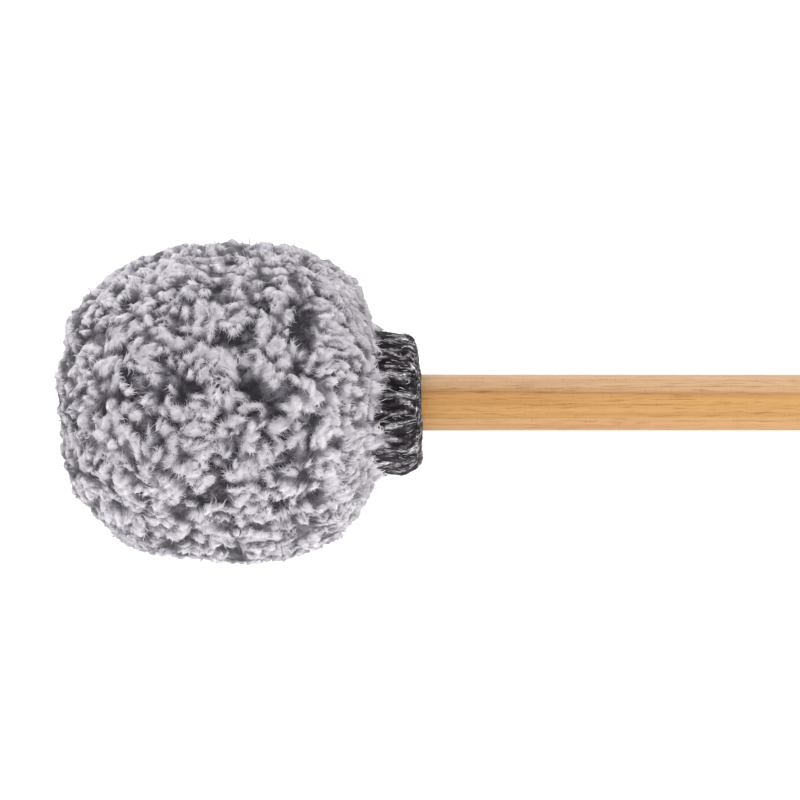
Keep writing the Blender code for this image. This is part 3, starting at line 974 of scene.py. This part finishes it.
# %% The cuff's form
outline = np.concatenate([side_outline, hidden_outline])
cuff_form = bmesh.new()
bmesh.ops.create_grid(cuff_form, x_segments=len(outline), y_segments=CUFF_SIDES, size=1.0)
grid = corners_of(cuff_form)
row = np.rint((grid[:, 0] + 1) / 2 * len(outline)).astype(int) % len(outline)
angle = (grid[:, 1] + 1) * math.pi
points = turned(*outline[row].T, angle)
on_side = row < len(side_outline)
way = side_way[np.where(on_side, row, 0)]
streak = stretched(points, way, 1.3 * MM, 4.5 * MM, 4.0)
patch = stretched(points, way, 3.0 * MM, 4.0 * MM, 7.0)
fleck = stretched(points, way, 0.4 * MM, 1.0 * MM, 9.0)
raised, _, pale, loop_and_highlight, hem = cuff_places(angle, way)
points[on_side] = raised[on_side]
move_corners(cuff_form, points)

# %% The cuff's colours
CUFF_DARK = (0.008, 0.006, 0.008)
CUFF_MID = (0.034, 0.028, 0.034)
CUFF_GREY = (0.21, 0.2, 0.216)
CUFF_PALE = (0.79, 0.77, 0.795)

cuff_look = hair_material(
    "cuff_knit",
    [(0.1, CUFF_DARK), (0.38, CUFF_MID), (0.6, CUFF_GREY), (0.85, CUFF_PALE)],
    sheen=0.06,
)

pale = pale * (0.4 + 0.6 * smoothstep(-0.4, 0.2, patch))
# Where a stitch rises it is painted paler: a painted highlight on the knit's crests.
shade = 0.17 + 0.12 * loop_and_highlight * (0.7 + 0.8 * patch) + 0.5 * streak + 0.4 * np.maximum(patch, 0)
shade = shade + (0.85 + 0.5 * streak) * pale + 0.25 * smoothstep(0.36, 0.55, fleck)
shade = np.maximum(shade, hem * (0.58 + 0.6 * streak + 0.3 * patch))
shade = np.where(on_side, shade, 0.3)
chart = np.stack([shade, 0.5 + 0.2 * streak], 1).clip(0.005, 0.995)
layer = cuff_form.loops.layers.uv.new("OFBake")
for face in cuff_form.faces:
    for corner in face.loops:
        corner[layer].uv = chart[corner.vert.index]
bmesh.ops.remove_doubles(cuff_form, verts=cuff_form.verts, dist=1e-7)
bmesh.ops.recalc_face_normals(cuff_form, faces=cuff_form.faces)
cuff_hem = placed("cuff_hem", cuff_form, cuff_look, "cuff")

# %% [markdown]
# Pale fibres lie along the folds, a few cross the ribs, and short dark ones roughen the rest.

# %% Fibres on the cuff
FOLD_FIBRES = 1800
RIB_FIBRES = 2600


def tangled(angle, way, reach, turn, lift, width, shade, tone):
    """Fibres with their middles here, that run this far along the cuff and turn across it."""
    steps = STEPS - 0.5
    ways = way + reach * steps
    radius = np.interp(ways, side_way, side_outline[:, 1])
    angles = angle + turn * reach * steps / radius
    places, normals, *_ = cuff_places(angles, ways.clip(0, side_way[-1]))
    paths = places + normals * (lift * np.array([0.2, 1.0, 0.5]))[..., None]
    return paths, np.repeat(normals[:, 1:2], 3, axis=1), width, np.repeat(shade, 3, axis=1), tone


def fold_fibres(count):
    share = fold_pale * fold_width
    i = rng.choice(FOLDS, (count, 1), p=share / share.sum())
    way = rng.uniform(0, 1, (count, 1)) * 20 * MM + 1 * MM
    inside = (way > fold_start[i]) & (way < fold_end[i])
    i, way = i[inside][:, None], way[inside][:, None]
    radius = np.interp(way, side_way, side_outline[:, 1])
    lean = (fold_angle(i, way + 0.5 * MM) - fold_angle(i, way - 0.5 * MM)) / MM * radius
    here = fold_angle(i, way) + rng.normal(size=way.shape) * 0.75 * fold_width[i] / radius

    def each(low, high):
        return rng.uniform(low, high, way.shape)

    turn = lean + rng.normal(0, 0.12, way.shape)
    return tangled(
        here, way, each(1.0, 3.6) * MM, turn, each(0.05, 0.4) * MM, each(0.05, 0.1) * MM,
        each(0.35, 0.8), rng.normal(0.5, 0.15, way.shape),
    )


def rib_fibres(count):
    def each(low, high):
        return rng.uniform(low, high, (count, 1))

    dark = rng.random((count, 1)) < 0.85
    return tangled(
        each(0, math.tau), each(1 * MM, 24 * MM), each(0.8, 3.2) * MM, each(-0.5, 0.5),
        each(0.05, 0.45) * MM, each(0.04, 0.08) * MM,
        np.where(dark, each(0.15, 0.45), each(0.6, 0.9)), each(0.3, 0.7),
    )


folds = slivers("cuff_fibres_pale", "cuff", cuff_look, *fold_fibres(FOLD_FIBRES))
ribs = slivers("cuff_fibres_dark", "cuff", cuff_look, *rib_fibres(RIB_FIBRES))

# %% [markdown]
# ## Shaft
#
# A plain round stick of pale hardwood, with its edge broken at the butt and a pilot hole for the screw
# at the head. The grain runs along it in soft bands, with fine dark pores, and small flecks cross it
# where the rays of the wood are cut. Across the stick light is painted into its colour too: it is
# darker along the edge at the bottom of the camera's view, as painted shade. It is paler and pinker
# along the top edge, as a painted reflection, with a darker line in the upper half.

# %% The wood
WHITE = (1.0, 1.0, 1.0)


def along_grain(tree, scale):
    """Coordinates on the mallet's axis, stretched by this scale for x, y and z."""
    place = add(tree, "ShaderNodeTexCoord")
    on_axis = add(
        tree, "ShaderNodeMapping",
        {0: place.outputs["Object"], "Location": TO_AXIS.translation, "Rotation": TO_AXIS.to_euler()},
    )
    return add(tree, "ShaderNodeMapping", {0: on_axis.outputs[0], "Scale": scale}).outputs[0]


wood, tree, shader = new_material("shaft_wood", 0.5, Specular_IOR_Level=0.2)


def grain(stretch, detail):
    return cloudy(tree, along_grain(tree, stretch), 1.0, detail)


# The ramp below runs across the stick, not into the wood. Layer and depth carry painted shade on the
# side at the bottom of the camera's view and a painted reflection on the side at its top. The grain
# only makes them wander a little.
_, across, _ = add(tree, "ShaderNodeSeparateXYZ", {0: along_grain(tree, (1, 1, 1))}).outputs
layer = maths(tree, "MULTIPLY_ADD", grain((7, 60, 60), 2.0), 0.003, across)
depth = add(tree, "ShaderNodeMapRange", {0: layer, 1: -0.0065, 2: 0.0095})
colour = ramp(tree, depth.outputs[0], [
    (0.0, (0.34, 0.2, 0.095)), (0.3, (0.48, 0.265, 0.095)), (0.63, (0.52, 0.28, 0.1)),
    (0.665, (0.445, 0.23, 0.083)), (0.7, (0.48, 0.29, 0.14)), (1.0, (0.445, 0.295, 0.175)),
])
rows = grain((14, 1100, 1100), 4.0)
for height, share, stops in (  # bands, rows, pores and rays
    (grain((4, 230, 230), 3.0), 1.0, [(0.35, (0.84, 0.78, 0.72)), (0.5, WHITE)]),
    (rows, 0.75, [(0.3, (0.76, 0.68, 0.56)), (0.55, WHITE)]),
    (grain((130, 3600, 3600), 2.0), 0.7, [(0.34, (0.62, 0.5, 0.38)), (0.44, WHITE)]),
    (grain((2300, 420, 420), 2.0), 0.6, [(0.6, WHITE), (0.7, (0.84, 0.76, 0.68))]),
):
    sockets = {0: share, 6: colour, 7: ramp(tree, height, stops)}
    mixed = add(tree, "ShaderNodeMix", sockets, data_type="RGBA", blend_type="MULTIPLY")
    colour = mixed.outputs[2]
finish(tree, shader, colour, rows, 0.15, 0.0001)

# %% Shaft
SHAFT_SIDES = 128
HEAD_END_ROUND = 0.3 * MM
BUTT_ROUND = 1.6 * MM
PILOT = [(32.3 * MM, 0.0), (28.3 * MM, 2.7 * MM), (0.0, 2.7 * MM)]

shaft_outline = [
    *PILOT,
    *arc(HEAD_END_ROUND, shaft_radius - HEAD_END_ROUND, HEAD_END_ROUND, 180, 90, 3),
    *arc(butt - BUTT_ROUND, shaft_radius - BUTT_ROUND, BUTT_ROUND, 90, 0, 8),
    (butt, 0.0),
]
placed("shaft_stick", spun(shaft_outline, SHAFT_SIDES), wood, "shaft")

# %% [markdown]
# ## Inside the head
#
# What the fleece hides is real too: a turned wooden core with a steel sleeve, felt pads and wraps
# that thread holds down, loose wadding, a thin knitted liner tied at the neck, and the cord that
# draws the cuff in. Felt is a matted cloth, so its finish is soft mottling and a fine fibrous
# bump.

# %% Cloth and metal materials


def mottled(name, low, high, scale, roughness, bump_scale, bump_depth, stretch=(1, 1, 1), **sockets):
    """A finish that wanders between two colours, with a finer bump."""
    made, tree, shader = new_material(name, roughness, **sockets)
    place = along_grain(tree, stretch)
    colour = ramp(tree, cloudy(tree, place, scale, 6.0), [(0.35, low), (0.65, high)])
    finish(tree, shader, colour, cloudy(tree, place, bump_scale, 4.0), 0.6, bump_depth)
    return made


core_look = mottled(
    "core_wood", (0.42, 0.23, 0.1), (0.62, 0.39, 0.2), 90.0, 0.6, 900.0, 0.00005, (0.15, 1, 1)
)
steel = mottled(
    "weight_steel", (0.36, 0.36, 0.37), (0.5, 0.5, 0.51), 60.0, 0.38, 3000.0, 0.00001, (8, 1, 1),
    Metallic=1.0,
)
zinc = mottled(
    "washer_steel", (0.52, 0.52, 0.54), (0.66, 0.66, 0.67), 400.0, 0.3, 2500.0, 0.00001, Metallic=1.0
)
screw_zinc = mottled(
    "screw_steel", (0.58, 0.55, 0.46), (0.7, 0.67, 0.58), 300.0, 0.3, 2500.0, 0.00001, Metallic=1.0
)
pad_felt = mottled(
    "pad_felt", (0.46, 0.44, 0.41), (0.62, 0.6, 0.57), 350.0, 1.0, 1800.0, 0.0002, Sheen_Weight=0.3
)
firm_felt = mottled(
    "firm_felt", (0.34, 0.32, 0.3), (0.48, 0.46, 0.44), 400.0, 1.0, 2000.0, 0.0002, Sheen_Weight=0.3
)
soft_felt = mottled(
    "soft_felt", (0.6, 0.58, 0.54), (0.76, 0.74, 0.7), 300.0, 1.0, 1500.0, 0.0003, Sheen_Weight=0.4
)
wadding_look = mottled(
    "wadding", (0.78, 0.77, 0.74), (0.9, 0.89, 0.87), 120.0, 1.0, 700.0, 0.0006, Sheen_Weight=0.5
)
thread_look = mottled(
    "waxed_thread", (0.62, 0.56, 0.43), (0.8, 0.75, 0.62), 700.0, 0.5, 4000.0, 0.00005
)
cord_look = mottled(
    "drawcord_cotton", (0.1, 0.095, 0.1), (0.22, 0.21, 0.225), 900.0, 0.95, 4000.0, 0.00008
)
liner_look = mottled(
    "liner_knit", (0.66, 0.65, 0.63), (0.88, 0.87, 0.85), 900.0, 0.95, 2600.0, 0.0002, (3, 1, 1)
)

for node, look in (
    ("core", core_look), ("weight_sleeve", steel), ("end_washer", zinc), ("end_screw", screw_zinc),
):
    nodes[node].material_slots[0].material = look
print("kept as they are: core, weight_sleeve, end_washer, end_screw")

# %% [markdown]
# The felt parts are turned forms whose edges are rounded over, and a little uneven, as cut felt is.

# %% Felt
FELT_SIDES = 96


def ruffled(form, height, spacing, fixed_radius):
    """Moves a form's corners in and out along their normals, beyond this radius."""
    form.normal_update()
    places = corners_of(form)
    normals = np.array([v.normal[:] for v in form.verts])
    free = np.hypot(places[:, 1], places[:, 2]) > fixed_radius
    moves = free * height * (noise_at(places, spacing, 3) - 0.6)
    move_corners(form, places + normals * moves[:, None])
    return form


def felt_ring(node, look, edge, step, height, spacing, grooves=()):
    """A ring of felt as large as the solid, with rounded outer edges and an uneven side."""
    front, rear, inside, outside = span(node)
    outline = [
        (front, inside),
        *arc(front + edge, outside - edge, edge, 180, 90, 6),
        *grooves,
        *arc(rear - edge, outside - edge, edge, 90, 0, 6),
        (rear, inside),
        (front, inside),
    ]
    form = spun(evenly(outline, step)[0][:-1], FELT_SIDES, closed=True)
    form = ruffled(form, height, spacing, inside + 0.5 * MM)
    return placed(node + "_felt", form, look, node)


def wrap_flat(node):
    """The width that both wraps have, and one's mean length round the axis."""
    front, rear, _, _ = span("inner_wrap")
    _, _, inside, outside = span(node)
    return rear - front, math.pi * (inside + outside)


for node in ("front_pad", "rear_pad"):
    felt_ring(node, pad_felt, 0.9 * MM, 1.2 * MM, 0.18 * MM, 1.6 * MM)
inner_wrap = felt_ring("inner_wrap", firm_felt, 0.6 * MM, 1.4 * MM, 0.15 * MM, 1.8 * MM)
wrap_flat("inner_wrap")

# %% [markdown]
# The outer wrap is softer, and two windings of thread press a groove into it.

# %% Outer wrap
BED_DEPTH = 0.3 * MM  # of a groove's floor under its thread
WOUND = ("wrap_thread_front", "wrap_thread_rear")

wrap_front, wrap_rear, _, wrap_radius = span("outer_wrap")
grooves = []
for node in WOUND:
    start, end, bed, _ = span(node)
    grooves += [
        (start - 0.5 * MM, wrap_radius), (start - 0.3 * MM, bed - BED_DEPTH),
        (end + 0.3 * MM, bed - BED_DEPTH), (end + 0.5 * MM, wrap_radius),
    ]
outer_wrap = felt_ring("outer_wrap", soft_felt, 3 * MM, 1.0 * MM, 0.15 * MM, 1.5 * MM, grooves)
wrap_flat("outer_wrap")

# %% [markdown]
# Each winding of thread is a helix of two plies that twist round each other.

# %% Thread
THREAD_RADIUS = 0.55 * MM
PLY_RADIUS = 0.31 * MM
THREAD_TURNS = 4
TURN_STEPS = 72
THREAD_TWIST = 2.6 * MM


def tube(name, lines, radius, look, node):
    """Tubes along lines of points on the axis, with closed ends, as one piece."""
    data = bpy.data.curves.new(name, "CURVE")
    data.dimensions = "3D"
    data.bevel_depth = radius
    data.bevel_resolution = 2
    data.use_fill_caps = True
    for line in lines:
        spline = data.splines.new("POLY")
        spline.points.add(len(line) - 1)
        for point, place in zip(spline.points, line):
            point.co = (*place, 1)
    curve = bpy.data.objects.new(name + "_path", data)
    drawn = bpy.data.meshes.new_from_object(curve)
    form = bmesh.new()
    form.from_mesh(drawn)
    bpy.data.meshes.remove(drawn)
    bpy.data.objects.remove(curve)
    bmesh.ops.recalc_face_normals(form, faces=form.faces)
    placed(name, form, look, node)


def plied(middle, ply_offset, twist, plies):
    """Strands that twist round a line about the axis, once round it in this length."""
    out = unit(middle * (0, 1, 1))
    beside = np.cross(unit(np.gradient(middle, axis=0)), out)
    strands = []
    for i in range(plies):
        turns = (way_along(middle) / twist + i / plies)[:, None] * math.tau
        strands.append(middle + ply_offset * (np.cos(turns) * out + np.sin(turns) * beside))
    return strands


for node in (*WOUND, "liner_tie"):
    start, end, inside, _ = span(node)
    turns = np.linspace(0, THREAD_TURNS * math.tau, THREAD_TURNS * TURN_STEPS + 1)
    x = np.linspace(start + THREAD_RADIUS, end - THREAD_RADIUS, len(turns))
    middle = turned(x, inside + THREAD_RADIUS, turns)
    strands = plied(middle, THREAD_RADIUS - PLY_RADIUS, THREAD_TWIST, 2)
    tube(node + "_plies", strands, PLY_RADIUS, thread_look, node)

# %% [markdown]
# Wadding rounds the head out to the fleece. The liner over it is one tube of thin knit, stretched
# smooth, and tied round the shaft.

# %% Wadding
WADDING_RADIUS = 35.3 * MM
WADDING_DEPTH = HEAD_RADIUS - WADDING_RADIUS
WADDING_STEPS = 40
ROOM = 0.3 * MM  # between the wadding and what it goes round

front, rear = span("front_pad")[0] - ROOM, span("rear_pad")[1] + ROOM
hollow = [
    (span("wadding")[1], shaft_hole), (rear, shaft_hole), (rear, wrap_radius - 2 * MM),
    (wrap_rear + ROOM, wrap_radius), (wrap_front - ROOM, wrap_radius + ROOM),
    (front, wrap_radius - 2 * MM), (front, 0.0),
]
outline, _ = evenly(head_section(WADDING_DEPTH, shaft_hole, WADDING_STEPS) + hollow, 2.0 * MM)
stuffing = ruffled(spun(outline, FELT_SIDES), 0.5 * MM, 7 * MM, wrap_radius + 2 * MM)
placed("wadding_fill", stuffing, wadding_look, "wadding")

# %% Liner
LINER_WALL = 0.5 * MM
LINER_GAP = 0.3 * MM  # over the wadding, and round the shaft
LINER_STEPS = 64

bore, liner_end = shaft_radius + LINER_GAP, span("liner")[1]
inside = head_section(WADDING_DEPTH - LINER_GAP, bore, LINER_STEPS)
outside = head_section(WADDING_DEPTH - LINER_GAP - LINER_WALL, bore + LINER_WALL, LINER_STEPS)
neck = [(liner_end, bore + LINER_WALL), (liner_end, bore)]
liner = spun(outside + neck + inside[::-1], FELT_SIDES)
liner = placed("liner_knit", liner, liner_look, "liner")
area = sum(f.area for f in liner.data.polygons) / 2
print("the liner's cloth is", round(area * 1e4, 1), "square cm")

# %% [markdown]
# The drawcord lies in the cuff's hollow, round the shaft, as a rope of three strands, and ends in
# a small knot.

# %% Drawcord and knot
CORD_RADIUS = 1.2 * MM
STRAND_RADIUS = 0.62 * MM
CORD_TWIST = 7 * MM
CORD_STEPS = 160
HALF_GAP = math.radians(17)  # half the turn that the knot takes
KNOT_HALF = np.array([1.2, 2.3, 1.45]) * MM
KNOT_STEPS = 97

cord_place = sum(span("drawcord")[:2]) / 2
turns = np.linspace(math.pi / 2 + HALF_GAP, 5 * math.pi / 2 - HALF_GAP, CORD_STEPS)
middle = turned(cord_place, shaft_hole + CORD_RADIUS, turns)
strands = plied(middle, CORD_RADIUS - STRAND_RADIUS, CORD_TWIST, 3)
tube("drawcord_rope", strands, STRAND_RADIUS, cord_look, "drawcord")

t = np.linspace(0, math.tau, KNOT_STEPS)
bow = np.stack([
    np.sin(3 * t), (np.sin(t) + 2 * np.sin(2 * t)) / 3, (np.cos(t) - 2 * np.cos(2 * t)) / 3,
], 1)
bow = bow / np.abs(bow).max(0) * (KNOT_HALF - STRAND_RADIUS)
bow = bow + np.array([cord_place, 0, shaft_hole + KNOT_HALF[2]])
tube("drawcord_knot_loops", [bow], STRAND_RADIUS, cord_look, "drawcord_knot")

# %% [markdown]
# ## Light
#
# The photograph has a pure white ground, soft light from all round and hardly a shadow. A bright
# world gives most of that. A wide lamp overhead and three at the sides add a little form. Floor
# and world are a pale grey that glows up to white for the camera's rays alone: the picture gets
# its white ground, and no more light falls on the mallet for it.

# %% Lamps
LIT_PLACE = Vector((-0.1, 0, 0.04))

for name, place, size, power in (
    ("overhead", (-0.15, 0.35, 1.1), 0.9, 2.7),
    ("fill_near", (0.2, -0.9, 0.3), 0.8, 9.5),
    ("fill_far", (0.2, 0.9, 0.3), 0.8, 5.5),
    ("fill_tip", (-1.1, 0.1, 0.25), 0.8, 7.0),
):
    light = bpy.data.lights.new(name, "AREA")
    light.shape = "DISK"
    light.size = size
    light.energy = power
    lamp = new_object(name, light)
    lamp.location = place
    lamp.rotation_euler = (LIT_PLACE - Vector(place)).to_track_quat("-Z", "Y").to_euler()

# %% World and floor


def white_to_camera(tree, plain, extra):
    """A strength that is plain as light, with the extra added where the camera sees it."""
    path = add(tree, "ShaderNodeLightPath").outputs
    seen = maths(tree, "MAXIMUM", path["Is Camera Ray"], path["Is Glossy Ray"])
    seen = maths(tree, "MAXIMUM", seen, path["Is Transmission Ray"])
    return maths(tree, "MULTIPLY_ADD", seen, extra, plain)


world = bpy.data.worlds.new("world")
bpy.context.scene.world = world
world.use_nodes = True
tree = world.node_tree
background = tree.nodes["Background"]
background.inputs["Color"].default_value = (1, 1, 1, 1)
tree.links.new(white_to_camera(tree, 0.9, 0.1), background.inputs["Strength"])

floor_form = bmesh.new()
bmesh.ops.create_grid(floor_form, x_segments=1, y_segments=1, size=3.0)
floor = new_object("floor", finished("floor", floor_form))
floor_look, tree, shader = new_material("floor_paper", 0.9)
shader.inputs["Base Color"].default_value = (0.8, 0.8, 0.8, 1)
tree.links.new(white_to_camera(tree, 0.0, 0.55), shader.inputs["Emission Strength"])
shader.inputs["Emission Color"].default_value = (1, 1, 1, 1)
floor.data.materials.append(floor_look)

bpy.context.scene.view_settings.view_transform = "Standard"
